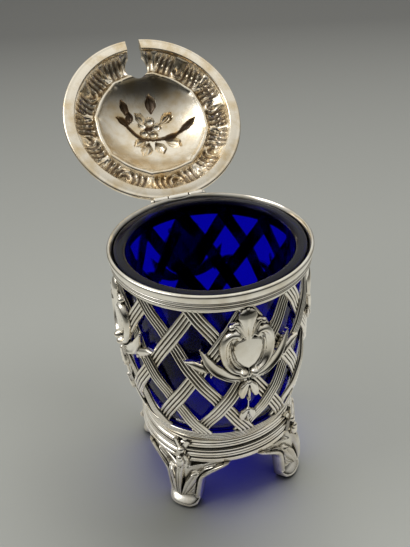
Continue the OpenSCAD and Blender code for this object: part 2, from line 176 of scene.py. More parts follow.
def oxidised_metal(name, bright, film, oxide, smooth, hollow_mm, dark_to, bright_from):
    # Polished high spots, a thin film of tarnish in soft patches, and oxide in the hollows.
    material, tree, shader = new_material(name)
    place = add_node(tree, "TexCoord")["Object"]
    hollow = add_node(tree, "AmbientOcclusion", {"Distance": hollow_mm * MM}, samples=AO_SAMPLES)
    rubbed = add_node(tree, "MapRange", {"Value": hollow["AO"], "From Min": dark_to, "From Max": bright_from},
                      interpolation_type="SMOOTHSTEP")
    # The attribute darkens where a piece paints it: tarnish in the lid's hollows, painted shade on the
    # plinth's underside.
    tarnish_and_painted_shade = add_node(tree, "Attribute", attribute_name="tarnish_and_shade")
    undarkened = add_node(tree, "Math", {0: 1.0, 1: tarnish_and_painted_shade["Fac"]}, operation="SUBTRACT")
    rubbed = add_node(tree, "Math", {0: rubbed["Result"], 1: undarkened[0]}, operation="MULTIPLY")
    patches = add_node(tree, "TexNoise", {"Vector": place, "Scale": 1 / (PATCH_MM * MM), "Detail": 4.0})
    patch = add_node(tree, "MapRange", {"Value": patches["Fac"], "From Min": 0.42, "From Max": 0.7})
    metal = add_node(tree, "Mix", {0: patch["Result"], 6: srgb(bright), 7: srgb(film)}, data_type="RGBA")
    colour = add_node(tree, "Mix", {0: rubbed[0], 6: srgb(oxide), 7: metal[2]}, data_type="RGBA")
    rough = add_node(tree, "MapRange", {"Value": rubbed[0], "To Min": OXIDE_ROUGHNESS, "To Max": smooth})
    marks = add_node(tree, "TexNoise", {"Vector": place, "Scale": 1 / (MARK_MM * MM), "Detail": 2.0})
    dents = add_node(tree, "Bump", {"Height": marks["Fac"], "Strength": 0.06, "Distance": MARK_DEPTH_MM * MM})
    fill(tree, shader, {"Base Color": colour[2], "Metallic": 1.0, "Roughness": rough["Result"],
                        "Normal": dents["Normal"]})
    return material


# Cast silver, polished by hand: a clear, slightly warm mirror with black drawing in its grooves.
silver = oxidised_metal("oxidised_cast_silver", bright="#f3eee3", film="#dfd6c4", oxide="#0e0b08",
                        smooth=0.15, hollow_mm=1.0, dark_to=0.36, bright_from=0.84)
# Worn gilding over beaten silver: a softer, straw-coloured gloss with brown in the hollows.
silver_gilt = oxidised_metal("worn_silver_gilt", bright="#faf0de", film="#e4cea8", oxide="#5e3d1c",
                             smooth=0.26, hollow_mm=1.4, dark_to=0.12, bright_from=0.5)

# %% Glass
# Pressed glass has a soft gloss. The tint keeps what its lip mirrors dim and blue.
cobalt_glass, glass_tree, glass_shader = new_material("pressed_cobalt_glass")
fill(glass_tree, glass_shader, {"Base Color": srgb("#0603b4"), "Transmission Weight": 1.0, "Roughness": 0.12,
                                "Specular Tint": srgb("#3a3a74"), "IOR": 1.52})
print("materials:", [m.name for m in bpy.data.materials])

# %% [markdown]
# ## From a mesh to a piece
# Every piece ends in the same way: seams are welded, faces turned outwards, the mesh is brought to metres,
# and shading is smooth but for sharp edges. Then the piece takes its finish, is hung on the body that
# carries it, and the CAD nodes it stands for are hidden.

# %% Finishing a piece
def mesh_of(name, bm):
    mesh = bpy.data.meshes.new(name)
    bm.to_mesh(mesh)
    bm.free()
    return mesh


def make_piece(name, bm, material, body, nodes, sharp=40):
    bmesh.ops.remove_doubles(bm, verts=bm.verts, dist=0.0005)
    bmesh.ops.recalc_face_normals(bm, faces=bm.faces)
    bmesh.ops.scale(bm, vec=(MM, MM, MM), verts=bm.verts)
    for face in bm.faces:
        face.smooth = True
    mesh = mesh_of(name, bm)
    mesh.set_sharp_from_angle(angle=math.radians(sharp))
    mesh.materials.append(material)
    piece = add_object(name, mesh)
    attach(piece, body)
    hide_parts(*nodes)
    print(name, len(mesh.polygons), "faces")


# %% [markdown]
# ## The lathe
# What is round is spun from a profile of radii and heights, as on a lathe; the spin operator does that here.
# The cage's wall is upright above and curves in below on one arc. `wall_r` gives its radius at a height.

# %% Lathe
def wall_r(z):
    drop = np.clip(BEND_Z - np.asarray(z, float), 0, None)
    return cage_r - bend_rho + np.sqrt(bend_rho ** 2 - drop ** 2)


def arc(r, z, radius, start, end, steps=8):
    turns = np.radians(np.linspace(start, end, steps + 1))
    return [(r + radius * math.cos(t), z + radius * math.sin(t)) for t in turns]


def closed_line(bm, points):
    verts = [bm.verts.new(point) for point in points]
    return verts + [bm.edges.new(pair) for pair in zip(verts, verts[1:] + verts[:1])]


def lathe(profile, steps=192):
    bm = bmesh.new()
    line = closed_line(bm, [(r, 0, z) for r, z in profile])
    bmesh.ops.spin(bm, geom=line, axis=(0, 0, 1), cent=(0, 0, 0), angle=math.tau, steps=steps, use_merge=True)
    bmesh.ops.remove_doubles(bm, verts=bm.verts, dist=0.001)
    bmesh.ops.recalc_face_normals(bm, faces=bm.faces)
    return bm


# %% [markdown]
# ## The glass liner
# The liner is a pressed and fire-polished tumbler whose outside follows the cage. A lathe profile is the
# natural way: up the outside, out and round the lip that lies in the rim, down the inside, and across a
# thick floor.

# %% Glass liner
GLASS_T, GLASS_FLOOR = 2.4, 4.0
LIP_H, LIP_ROUND, LIP_FILLET, MOUTH_ROUND = 1.4, 0.6, 0.3, 1.6
LINER_GAP = 1.4
FOOT_HOLLOW = 0.5
liner_r = cage_r - LINER_GAP
liner_in_r = liner_r - GLASS_T
liner_foot_r = float(wall_r(liner_low_z)) - LINER_GAP
floor_r = liner_foot_r - GLASS_T
under_z, floor_z, lip_z = liner_low_z + FOOT_HOLLOW, liner_low_z + GLASS_FLOOR, liner_top_z - LIP_H

outer_z = np.linspace(liner_low_z + 0.8, lip_z - LIP_FILLET, 40)
inner_z = np.linspace(liner_top_z - MOUTH_ROUND, floor_z + 2, 36)
liner_line = [(0, under_z), (liner_foot_r - 3, under_z), (liner_foot_r - 2.2, liner_low_z)]
liner_line += [(liner_foot_r - 0.6, liner_low_z), (liner_foot_r - 0.1, liner_low_z + 0.3)]
liner_line += [(wall_r(z) - LINER_GAP, z) for z in outer_z]
liner_line += arc(liner_r + LIP_FILLET, lip_z - LIP_FILLET, LIP_FILLET, 180, 90, 4)
liner_line += arc(lip_out_r - LIP_FILLET, lip_z + LIP_FILLET, LIP_FILLET, -90, 0, 4)
liner_line += arc(lip_out_r - LIP_ROUND, liner_top_z - LIP_ROUND, LIP_ROUND, 0, 90)
liner_line += arc(liner_in_r + MOUTH_ROUND, liner_top_z - MOUTH_ROUND, MOUTH_ROUND, 90, 175, 12)
liner_line += [(wall_r(z) - LINER_GAP - GLASS_T, z) for z in inner_z]
liner_line += [(floor_r - 0.6, floor_z + 0.6), (floor_r - 2, floor_z), (0, floor_z)]
tumbler = lathe(liner_line)
make_piece("liner_tumbler", tumbler, cobalt_glass, "liner", ["glass_liner"], sharp=60)

# %% [markdown]
# ## The rim band
# A drawn moulding, bent to a hoop: a flat with a rounded lip above, and two beads below it. A step inside
# takes the glass lip, and at the back it is hollowed for the hinge. The hoop is spun, then a bar along the
# hinge's axis is cut out of it with a Boolean modifier.

# %% Cutting tools
def carve(bm, cutter):
    pair = []
    for name, shape in (("work", bm), ("cutter", cutter)):
        bmesh.ops.recalc_face_normals(shape, faces=shape.faces)
        pair.append(add_object(name, mesh_of(name, shape)))
    cut = pair[0].modifiers.new("carve", "BOOLEAN")
    cut.object, cut.operation, cut.solver = pair[1], "DIFFERENCE", "EXACT"
    carved = bpy.data.meshes.new_from_object(pair[0].evaluated_get(bpy.context.evaluated_depsgraph_get()))
    result = bmesh.new()
    result.from_mesh(carved)
    # Removing a mesh also removes the object that shows it.
    for mesh in [carved] + [o.data for o in pair]:
        bpy.data.meshes.remove(mesh)
    return result


def bar(radius, start, end, steps=48):
    start, end = Vector(start), Vector(end)
    run = end - start
    bm = bmesh.new()
    bmesh.ops.create_cone(bm, cap_ends=True, segments=steps, radius1=radius, radius2=radius, depth=run.length,
                          matrix=Matrix.LocRotScale((start + end) / 2, run.to_track_quat("Z", "Y"), None))
    return bm


# %% Rim band
HINGE_L, KNUCKLE_R = 15.7, 1.3
SWING_GAP, END_PLAY = 0.3, 0.12
LIP_CLEAR = 0.3
BEAD_R, RIM_ROUND = 0.55, 0.7


def hollow_for_hinge(bm, share=1.0):
    half = share * Vector((HINGE_L / 2 + END_PLAY, 0, 0))
    return carve(bm, bar(KNUCKLE_R + SWING_GAP, pin_at - half, pin_at + half))


rim_in_r = cage_r - CAGE_WALL
step_r, step_z = lip_out_r + LIP_CLEAR, lip_z - LIP_CLEAR
rim_line = [(rim_in_r, cage_top_z), (cage_r + 0.3, cage_top_z)]
rim_line += arc(cage_r + 0.55, cage_top_z + 0.62, BEAD_R, -80, 75)
rim_line += [(cage_r + 0.4, cage_top_z + 1.25)]
rim_line += arc(cage_r + 0.7, cage_top_z + 1.85, BEAD_R, -75, 75)
rim_line += [(cage_r + 0.5, cage_top_z + 2.5), (rim_r - 0.35, cage_top_z + 2.62)]
rim_line += [(rim_r - 0.15, cage_top_z + 3.3)]
rim_line += arc(rim_r - RIM_ROUND, rim_z - RIM_ROUND, RIM_ROUND, 0, 90)
rim_line += [(rim_r - 0.8, rim_z), (step_r + 0.1, rim_z - 0.7), (step_r, step_z), (rim_in_r, step_z)]
rim = hollow_for_hinge(lathe(rim_line, 256))
make_piece("rim_moulding", rim, silver, "cage", ["rim_band"])

# %% [markdown]
# ## Work on the wall
# A silversmith rolls a strip flat and then bends it. `on_wall` is the bending: it takes work that was laid
# out flat, at a distance x along the wall, a height z and a lift off the metal, and lays it round the cage.
# Such work starts as a grid with a back.

# %% Bending tools
def ramp(value):
    return np.clip(value, 0, 1)


def round_over(q):
    return np.sqrt(ramp(1 - q ** 2))


def on_wall(x, z, lift):
    drop = np.clip(BEND_Z - np.asarray(z, float), 0, None)
    lean = drop / np.sqrt(bend_rho ** 2 - drop ** 2)
    slant = np.hypot(1, lean)
    reach = wall_r(z) + lift / slant
    turn = x / wall_r(z)
    return np.stack([reach * np.sin(turn), -reach * np.cos(turn), z - lift * lean / slant], axis=-1)


def points_of(bm):
    return np.array([v.co for v in bm.verts])


def put(bm, points):
    for vert, point in zip(bm.verts, points):
        vert.co = point


# %% Grids, copies and joins
def verts_in(geom):
    return [g for g in geom if isinstance(g, bmesh.types.BMVert)]


def thicken(bm, move):
    made = bmesh.ops.extrude_face_region(bm, geom=bm.faces[:], use_keep_orig=True)["geom"]
    for vert in verts_in(made):
        move(vert)


def thick_grid(columns, lines, size=0.5):
    bm = bmesh.new()
    bmesh.ops.create_grid(bm, x_segments=columns, y_segments=lines, size=size)
    backs = []
    thicken(bm, backs.append)
    flat = points_of(bm)
    bm.verts.index_update()
    under = np.zeros(len(flat), bool)
    under[[vert.index for vert in backs]] = True
    return bm, flat, under


def join(bm, other):
    mesh = mesh_of("joined", other)
    bm.from_mesh(mesh)
    bpy.data.meshes.remove(mesh)


def about_z(turn):
    return Matrix.Rotation(turn, 3, "Z")


def turned_copies(bm, count):
    first = bm.verts[:] + bm.edges[:] + bm.faces[:]
    for k in range(1, count):
        copy = bmesh.ops.duplicate(bm, geom=first)["geom"]
        bmesh.ops.rotate(bm, verts=verts_in(copy), cent=(0, 0, 0), matrix=about_z(math.tau * k / count))


# %% [markdown]
# ## The trellis
# Twenty-four reeded strips wind round the cage, twelve each way, and pass over and under each other. One
# strip of each hand is made from a flat grid: four half-round reeds across it, and a slow wave along it that
# lifts it over one crossing and dips it under the next. It is bent round the wall and repeated by turning. A
# narrow hoop closes the top, and a border with three reeds the foot.

# %% Trellis strips
REEDS, REED_H, GROOVE = 4, 0.5, 0.16
STRIP_T = 0.3
WEAVE, WEAVE_FLAT = 0.36, 1.5
FIRST_T, LAST_T = -0.12, 4.3


def strip(hand):
    bm, flat, under = thick_grid(8 * REEDS, 54, size=1)
    share, t = flat[:, 0], FIRST_T + (LAST_T - FIRST_T) * (flat[:, 1] + 1) / 2
    across = share * BAND_W / 2
    mid_z = first_row_z - t * row_h
    run = np.stack([hand * wall_r(mid_z) * half_step, np.full(len(t), -row_h)])
    run = run / np.linalg.norm(run, axis=0)
    z = mid_z + across * run[0]
    turn = hand * half_step * t - across * run[1] / wall_r(z)
    # The wave is cut flat, so that strips lie level where they cross.
    wave = WEAVE * hand * np.clip(WEAVE_FLAT * np.cos(np.pi * t), -1, 1)
    reed = (share * REEDS + REEDS) % 2 - 1
    crest = round_over(ramp(np.abs(reed) / (1 - GROOVE)))
    lift = wave - REED_H + np.where(under, -STRIP_T, REED_H * crest)
    put(bm, on_wall(turn * wall_r(z), z, lift))
    turned_copies(bm, BANDS)
    return bm


trellis = strip(1)
join(trellis, strip(-1))
print("strips:", 2 * BANDS, "in", len(trellis.faces), "faces")

# %% Trellis hoops
HOOP_H, HOOP_ROUND = 0.9, 0.4
TUCK = 0.3
BORDER_REED_R = 0.42
hoop_low_z, hoop_high_z = cage_top_z - HOOP_H, cage_top_z + TUCK
hoop = [(rim_in_r, hoop_high_z), (rim_in_r, hoop_low_z)]
hoop += arc(cage_r - 0.1, hoop_low_z + HOOP_ROUND, HOOP_ROUND, -90, 0, 5) + [(cage_r + 0.3, hoop_high_z)]
join(trellis, lathe(hoop))

border_low_z, border_high_z = plinth_z - TUCK, plinth_z + BORDER_H
reed_mid_z = border_high_z - BORDER_REED_R * np.array([5.4, 3.2, 1.0])
plain_z = np.linspace(border_low_z, reed_mid_z[0] - BORDER_REED_R - 0.1, 5)
back_z = np.linspace(border_high_z, border_low_z, 8)
border = [(wall_r(z) - 0.95, z) for z in back_z] + [(wall_r(z) + 0.4, z) for z in plain_z]
for z in reed_mid_z:
    border += arc(wall_r(z) + 0.05, z, BORDER_REED_R, -80, 80, 6)
join(trellis, lathe(border))
make_piece("woven_trellis", trellis, silver, "cage", ["trellis"])

# %% [markdown]
# ## The plinth
# The plinth is a square with bowed sides: each side is part of a ring, struck from a centre behind the pot's
# axis. Its moulding, a lip with three bold reeds over it, is spun about that centre, cut off at the two
# diagonals with bisect planes, and repeated four times, which gives true mitres. A round bore lets light
# through to the table. The underside, facing down into the shade under the pot, is painted dark as shade.

# %% Plinth moulding
PLINTH_BOW = 6.3
PLINTH_LIP = 1.3
SIDE_INNER = 8.0
# Each reed's radius, from the lowest up, and how far it stands back from the plinth's edge.
REEDS_UP = [(0.85, 0.1), (0.72, 0.5), (0.85, 0.7)]
REED_GAP = 0.14
corner_xy = plinth_mid_r - PLINTH_BOW
side_y = (2 * corner_xy ** 2 - plinth_mid_r ** 2) / (2 * PLINTH_BOW)
side_rho = plinth_mid_r + side_y
inner_r, lip_top_z = side_y + SIDE_INNER, foot_h + PLINTH_LIP

plinth_line = [(inner_r, foot_h), (side_rho - 0.2, foot_h), (side_rho, foot_h + 0.2)]
plinth_line += [(side_rho, lip_top_z - 0.2), (side_rho - 0.3, lip_top_z)]
reed_z = lip_top_z
for radius, back_by in REEDS_UP:
    edge_r = side_rho - back_by
    plinth_line += [(edge_r - 1.1 * radius, reed_z)]
    plinth_line += arc(edge_r - radius, reed_z + REED_GAP + radius, radius, -78, 42)
    reed_z += REED_GAP + 2 * radius
plinth_line += [(side_rho - 1.9, reed_z), (side_rho - 1.9, reed_z + 0.3), (side_rho - 1.2, reed_z + 0.4)]
plinth_line += [(side_rho - 1.3, plinth_z - 0.1), (side_rho - 1.5, plinth_z), (inner_r, plinth_z)]
print("plinth side struck at", round(side_rho, 1), "mm, reeds up to", round(reed_z, 2))

# %% Plinth
SIDE_SPAN = 96
LINER_LEDGE = 2.4
UNDERSIDE_PAINTED_SHADE = 0.92
plinth_bore_r = liner_foot_r - LINER_LEDGE
seat_r = CAGE_FOOT_R - CAGE_WALL


def paint(bm, tarnish_and_shade):
    layer = bm.verts.layers.float.new("tarnish_and_shade")
    for vert, amount in zip(bm.verts, tarnish_and_shade):
        vert[layer] = amount


side = bmesh.new()
moulding = closed_line(side, [(0, side_y - r, z) for r, z in plinth_line])
struck_from = (0, side_y, 0)
bmesh.ops.rotate(side, verts=side.verts, cent=struck_from, matrix=about_z(math.radians(-SIDE_SPAN / 2)))
bmesh.ops.spin(side, geom=moulding, axis=(0, 0, 1), cent=struck_from, angle=math.radians(SIDE_SPAN), steps=72)
for way in ((1, 1, 0), (-1, 1, 0)):
    everything = side.verts[:] + side.edges[:] + side.faces[:]
    bmesh.ops.bisect_plane(side, geom=everything, plane_co=(0, 0, 0), plane_no=way, clear_outer=True)
turned_copies(side, 4)
bmesh.ops.remove_doubles(side, verts=side.verts, dist=0.002)
bored = carve(side, bar(plinth_bore_r, (0, 0, foot_h - 1), (0, 0, plinth_z + 1), 128))
bored = carve(bored, bar(seat_r, (0, 0, liner_low_z), (0, 0, plinth_z + 1), 128))
bored.normal_update()
# Painted shade: the faces that look down are painted dark.
paint(bored, [UNDERSIDE_PAINTED_SHADE if vert.normal.z < -0.6 else 0.0 for vert in bored.verts])
make_piece("reeded_plinth", bored, silver, "cage", ["plinth"])

# %% [markdown]
# ## Work that is laid out flat
# The shield, leaves and husks are cast ornaments, soldered on the trellis. Each is modelled as a relief: a
# fine grid gets a height at every point from a few drawn shapes, what lies at zero is cut away, and the rest
# gets a flat back and is bent on the wall. A leaf is a line drawn through a few points, with a width and a
# height along it.

# %% Drawing tools
LEAF_EDGE = 0.06
VEIN_W = 0.18


def curve_through(points, steps=10):
    given = np.array(points, float)
    ends = np.vstack([2 * given[0] - given[1], given, 2 * given[-1] - given[-2]])
    line = []
    for a, b, c, d in zip(ends, ends[1:], ends[2:], ends[3:]):
        for t in np.arange(steps) / steps:
            line.append(0.5 * (2 * b + (c - a) * t + (2 * a - 5 * b + 4 * c - d) * t ** 2
                               + (3 * b - a - 3 * c + d) * t ** 3))
    return np.array(line + [given[-1]])


def near_curve(x, v, points):
    line = curve_through(points)
    a, run = line[:-1], line[1:] - line[:-1]
    away = np.stack([x, v], -1)[:, None, :] - a
    t = ramp((away * run).sum(-1) / (run ** 2).sum(-1))
    off = away - t[..., None] * run
    gap = np.hypot(off[..., 0], off[..., 1])
    nearest = gap.argmin(1)
    rows = np.arange(len(x))
    side = run[nearest, 0] * off[rows, nearest, 1] - run[nearest, 1] * off[rows, nearest, 0]
    return (nearest + t[rows, nearest]) / len(a), np.sign(side) * gap[rows, nearest]


def leaf(x, v, points, widths, height, hollow=0.0, vein=0.0):
    share, off = near_curve(x, v, points)
    half = np.interp(share, np.linspace(0, 1, len(widths)), widths)
    q = np.abs(off) / np.maximum(half, 0.05)
    lift = height * round_over(q) - hollow * ramp(1 - 1.6 * q) - vein * np.exp(-(off / VEIN_W) ** 2)
    return np.where(q < 1, np.maximum(lift, LEAF_EDGE), 0)


def ball(x, v, cx, cv, radius, height, stretch=1.0):
    return height * round_over(np.hypot(x - cx, (v - cv) / stretch) / radius)


# %% Relief tools
CUT_BELOW = 0.05
SOLDER_DEPTH = 0.1
SIDES = ["front", "right", "back", "left"]


def soften(bm, verts, axes, factor=0.5, times=2):
    for _ in range(times):
        bmesh.ops.smooth_vert(bm, verts=verts, factor=factor, **{f"use_axis_{axis}": True for axis in axes})


def relief(field, x_span, v_span, cell=0.15):
    bm = bmesh.new()
    columns, lines = (round((span[1] - span[0]) / cell) for span in (x_span, v_span))
    bmesh.ops.create_grid(bm, x_segments=columns, y_segments=lines, size=0.5)
    flat = points_of(bm) + 0.5
    x = x_span[0] + flat[:, 0] * (x_span[1] - x_span[0])
    v = v_span[0] + flat[:, 1] * (v_span[1] - v_span[0])
    put(bm, np.stack([x, v, field(x, v)], -1))
    bmesh.ops.delete(bm, geom=[p for p in bm.verts if p.co.z < CUT_BELOW], context="VERTS")
    bmesh.ops.delete(bm, geom=[e for e in bm.edges if not e.link_faces], context="EDGES")
    bmesh.ops.delete(bm, geom=[p for p in bm.verts if not p.link_faces], context="VERTS")
    soften(bm, bm.verts[:], "z")
    soften(bm, [p for p in bm.verts if p.is_boundary], "xy", factor=0.4, times=3)
    thicken(bm, lambda p: setattr(p.co, "z", -SOLDER_DEPTH))
    return bm


def cast_four(name, places, make):
    for k, place in enumerate(places):
        bm = make()
        bmesh.ops.rotate(bm, verts=bm.verts, matrix=about_z(math.tau * k / len(places)))
        node = f"{name}_{place}"
        make_piece(f"{node}_cast", bm, silver, "cage", [node])


def solder_on(name, *drawing):
    def bent():
        bm = relief(*drawing)
        put(bm, on_wall(*points_of(bm).T))
        return bm

    cast_four(name, SIDES, bent)


# %% [markdown]
# ## The cartouche
# A smooth heart-shaped shield between two C-scrolls, with a palmette above and two berries below. The two
# halves mirror each other, so the shapes are drawn once, for |x|, from the shield's middle.

# %% Cartouche shapes
CARTOUCHE_Z = first_row_z - 1.2 * row_h


def shield_on_ground(ax, v):
    wide = np.interp(v, [-5.6, -4.6, -2.5, 0.5, 2.6, 3.8, 4.5], [0.2, 1.7, 3.2, 4.0, 3.9, 2.9, 0.4])
    shield = np.where(ax < wide, 0.95 + 0.35 * round_over(np.hypot(ax / 4.2, v / 6)), 0)
    ground = np.where(np.hypot(ax, v) < 6.0, 0.35, 0)
    return np.maximum(shield, ground)


def scrolls(ax, v):
    inner_path = [(0.9, -6.3), (3.1, -4.7), (4.5, -2.0), (4.9, 0.9), (4.5, 3.2)]
    outer_path = [(1.4, -7.0), (4.2, -5.5), (6.0, -2.6), (6.5, 0.9)]
    outer_path += [(6.0, 4.0), (4.6, 5.9), (3.1, 6.1), (2.3, 5.2)]
    inner = leaf(ax, v, inner_path, [0.3, 0.45, 0.45, 0.4, 0.25], 1.1)
    share, off = near_curve(ax, v, outer_path)
    half = np.interp(share, [0, 0.2, 0.5, 0.8, 1], [0.6, 1.1, 1.5, 1.3, 0.8])
    q = ramp(np.abs(off) / half)
    groove = 0.4 * np.exp(-((off - 0.7) / 0.35) ** 2) * (share < 0.75)
    outer = np.where(q < 1, 1.9 * round_over(q) - groove, 0)
    curl = ball(ax, v, 2.55, 5.0, 0.95, 1.9)
    return np.max([inner, outer, curl], axis=0)


def palmette(ax, v):
    middle = np.interp(v, [3.2, 5.5, 8.5, 11.0, 12.6, 13.4, 13.7], [0.5, 0.9, 1.8, 2.7, 2.3, 1.3, 0.2])
    tongue = (0.6 + 1.2 * round_over(ramp(ax / middle))) * round_over(np.clip(v - 10, 0, None) / 3.8)
    tongue = tongue - 0.8 * np.exp(-(ax / 0.4) ** 2) * ramp((11.0 - v) / 5)
    tongue = np.where((ax < middle) & (v > 3.2) & (v < 13.7), tongue, 0)
    wing_path = [(0.9, 4.9), (2.0, 7.2), (3.0, 8.8), (4.4, 9.0)]
    wing = leaf(ax, v, wing_path, [0.8, 1.2, 1.3, 0.6], 1.3, vein=0.4)
    tip = ball(ax, v, 4.3, 8.7, 1.05, 1.7)
    return np.max([tongue, wing, tip], axis=0)


# %% Cartouche
def cartouche_field(x, z):
    v, ax = z - CARTOUCHE_Z, np.abs(x)
    berry = ball(ax, v, 1.5, -7.0, 1.45, 2.7)
    knot = ball(ax, v, 0, -8.3, 1.1, 1.3)
    return np.max([shield_on_ground(ax, v), scrolls(ax, v), palmette(ax, v), berry, knot], axis=0)


solder_on("cartouche", cartouche_field, (-8.6, 8.6), (CARTOUCHE_Z - 10, CARTOUCHE_Z + 14))

# %% [markdown]
# ## The acanthus sprays
# From under the shield a long leaf sweeps out each way along the scroll and turns its tip up. A smaller
# toothed leaf lies behind it.

# %% Acanthus
SHIELD_CLEAR = 7.0
TEETH = 3


def acanthus_field(x, z):
    v, ax = z - CARTOUCHE_Z, np.abs(x)
    share, off = near_curve(ax, v, [(0.9, -9.2), (4.4, -8.4), (7.6, -6.2), (10.2, -3.2), (12.9, 2.4)])
    half = np.interp(share, [0, 0.25, 0.55, 0.8, 1], [0.5, 1.4, 2.1, 1.5, 0.05])
    q = np.clip(off / half, -1, 1)
    rib = 0.8 + 0.7 * np.exp(-((q + 0.55) / 0.3) ** 2) + 0.4 * np.exp(-((q - 0.8) / 0.2) ** 2)
    big = np.where(np.abs(off) < half, rib * round_over(q ** 2), 0)
    big = np.where(np.hypot(ax, v) > SHIELD_CLEAR, big, 0)
    small_path = [(9.2, -5.4), (12.2, -4.6), (14.8, -3.2), (17.0, -2.2)]
    behind = [leaf(ax, v, small_path, [0.6, 1.5, 1.2, 0.1], 1.4)]
    for k in range(TEETH):
        tooth_path = [(9.5 + 1.5 * k, -5.6 + 0.6 * k), (10.1 + 1.5 * k, -7.6 + 0.75 * k)]
        behind.append(leaf(ax, v, tooth_path, [0.6, 0.6, 0.35], 0.9))
    return np.where(big > 0.3, big, np.max(behind, axis=0))


solder_on("acanthus", acanthus_field, (-18, 18), (CARTOUCHE_Z - 11, CARTOUCHE_Z + 3))

# %% [markdown]
# ## The husks
# Two bell-flowers hang one below the other on a stem. Each has two full petals, a tongue between them with a
# bead at its end, and a small cap.

# %% Husks
HUSK_TOPS = (first_row_z - 2 * row_h - 1.4, first_row_z - 3 * row_h - 1.0)
HUSK_SIZES = (1.0, 0.82)


def husk_field(x, z):
    parts = []
    for top, size in zip(HUSK_TOPS, HUSK_SIZES):
        u, w = np.abs(x) / size, (z - top) / size
        petal = [(0.5, -0.8), (1.3, -2.4), (1.8, -4.0), (1.9, -5.0)]
        parts.append(size * leaf(u, w, petal, [0.7, 1.3, 1.35, 0.9], 1.7, hollow=0.5))
        parts.append(size * leaf(u, w, [(0, -2.6), (0, -4.4), (0, -5.8)], [0.3, 0.6, 0.4], 1.5))
        parts.append(size * ball(u, w, 0, -6.7, 0.7, 1.4))
        parts.append(size * ball(u, w, 0, -0.6, 1.0, 1.7))
    stem = leaf(x, z, [(0, HUSK_TOPS[0] - 6), (0, HUSK_TOPS[1])], [0.3, 0.3], 0.7)
    return np.max(parts + [stem], axis=0)


husk_low_z = HUSK_TOPS[1] - 7.8 * HUSK_SIZES[1]
solder_on("husk_drop", husk_field, (-3.6, 3.6), (husk_low_z, HUSK_TOPS[0] + 1), 0.13)

# %% [markdown]
# ## The corners of the plinth
# The plinth's corner is a flat mitre, so work that goes round it is laid out with w along the corner and d
# out from the axis. The two sides are arcs; `corner_d` gives d on them, with the mitre softened over a
# millimetre.

# %% Corner layout
CORNERS = ["front_left", "front_right", "back_right", "back_left"]
ROOT_2 = math.sqrt(2)
MITRE_SOFT = 1.0


def corner_d(w):
    soft = np.sqrt(w ** 2 + MITRE_SOFT ** 2) - MITRE_SOFT + side_y / ROOT_2
    return np.sqrt(side_rho ** 2 - soft ** 2) - side_y / ROOT_2


def at_corner(w, d, z):
    return np.stack([(w - d) / ROOT_2, (-w - d) / ROOT_2, z], -1)


def corner_knob(size, out, z):
    place = Vector(at_corner(0.0, corner_d(0.0) + out, z))
    shape = Matrix.LocRotScale(place, about_z(math.radians(-45)), Vector(size))
    knob = bmesh.new()
    bmesh.ops.create_uvsphere(knob, u_segments=24, v_segments=16, radius=1.0, matrix=shape)
    return knob


# %% [markdown]
# ## Ribbon ties
# A ribbon binds the reeds at each corner and crosses itself there, under a knot. Each leg is a narrow grid
# laid over the moulding, with rolled edges, and given a back.

# %% Ribbon ties
RIBBON_W, RIBBON_T = 1.4, 0.9
CROSS_W = 2.1
KNOT_SIZE, KNOT_OUT = (1.2, 1.2, 1.1), 0.35


def ribbon_leg(hand):
    bm, flat, under = thick_grid(8, 40)
    across, along = flat[:, 0] * RIBBON_W, flat[:, 1] + 0.5
    low, high = lip_top_z - 0.3, plinth_z - 0.4
    z = low + (high - low) * along + 0.3 * across * hand
    w = hand * CROSS_W * (1 - 2 * along) + across
    taper = -np.interp(along, [0, 0.5, 1], [0.1, 0.4, 1.1])
    rolled = 0.2 * np.abs(flat[:, 0] * 2) ** 3
    lift = 0.25 + taper + np.where(under, -0.4, RIBBON_T * 0.5 + rolled + 0.12 * hand)
    put(bm, at_corner(w, corner_d(w) + lift, z))
    return bm


def ribbon_tie():
    bm = ribbon_leg(1)
    join(bm, ribbon_leg(-1))
    join(bm, corner_knob(KNOT_SIZE, KNOT_OUT, 0.5 * (lip_top_z + plinth_z)))
    return bm


cast_four("ribbon_tie", CORNERS, ribbon_tie)

# %% [markdown]
# ## The feet
# Each foot is a cast bracket with two wings, an acanthus leaf over a knee that bulges out, and a toe like a
# thick lip. It is a relief as well, laid out with w across and z up: the outline gives the half width at
# each height, a bead follows the edge, lobes fan out from the leaf's base, and the knee lifts them. Two gaps
# under the plinth are sunk deep, and the leaf's tip curls up over the plinth's lip. The back is painted
# dark, the front a little.

# %% Foot drawing
OUTLINE_Z = [0, 0.5, 1.4, 3.0, 5.0, 7.0, 9.0, 11.0, 12.5, 14.0, 15.5, 16.8, 17.6, 18.3]
OUTLINE_W = [3.0, 4.0, 4.7, 5.0, 5.3, 5.6, 5.9, 6.3, 7.2, 8.8, 10.8, 12.6, 13.4, 13.6]
TOE_Z = [0, 0.4, 1.0, 1.8, 2.6, 3.4, 4.4]
TOE_D = [1.2, 2.1, 2.8, 2.8, 2.0, 1.0, 0.2]
KNEE_Z = [2.8, 4.2, 5.6, 7.6, 11.5, 15.0, 17.0, 18.3]
KNEE_D = [0.3, 1.4, 2.6, 3.4, 3.5, 2.9, 2.0, 1.6]
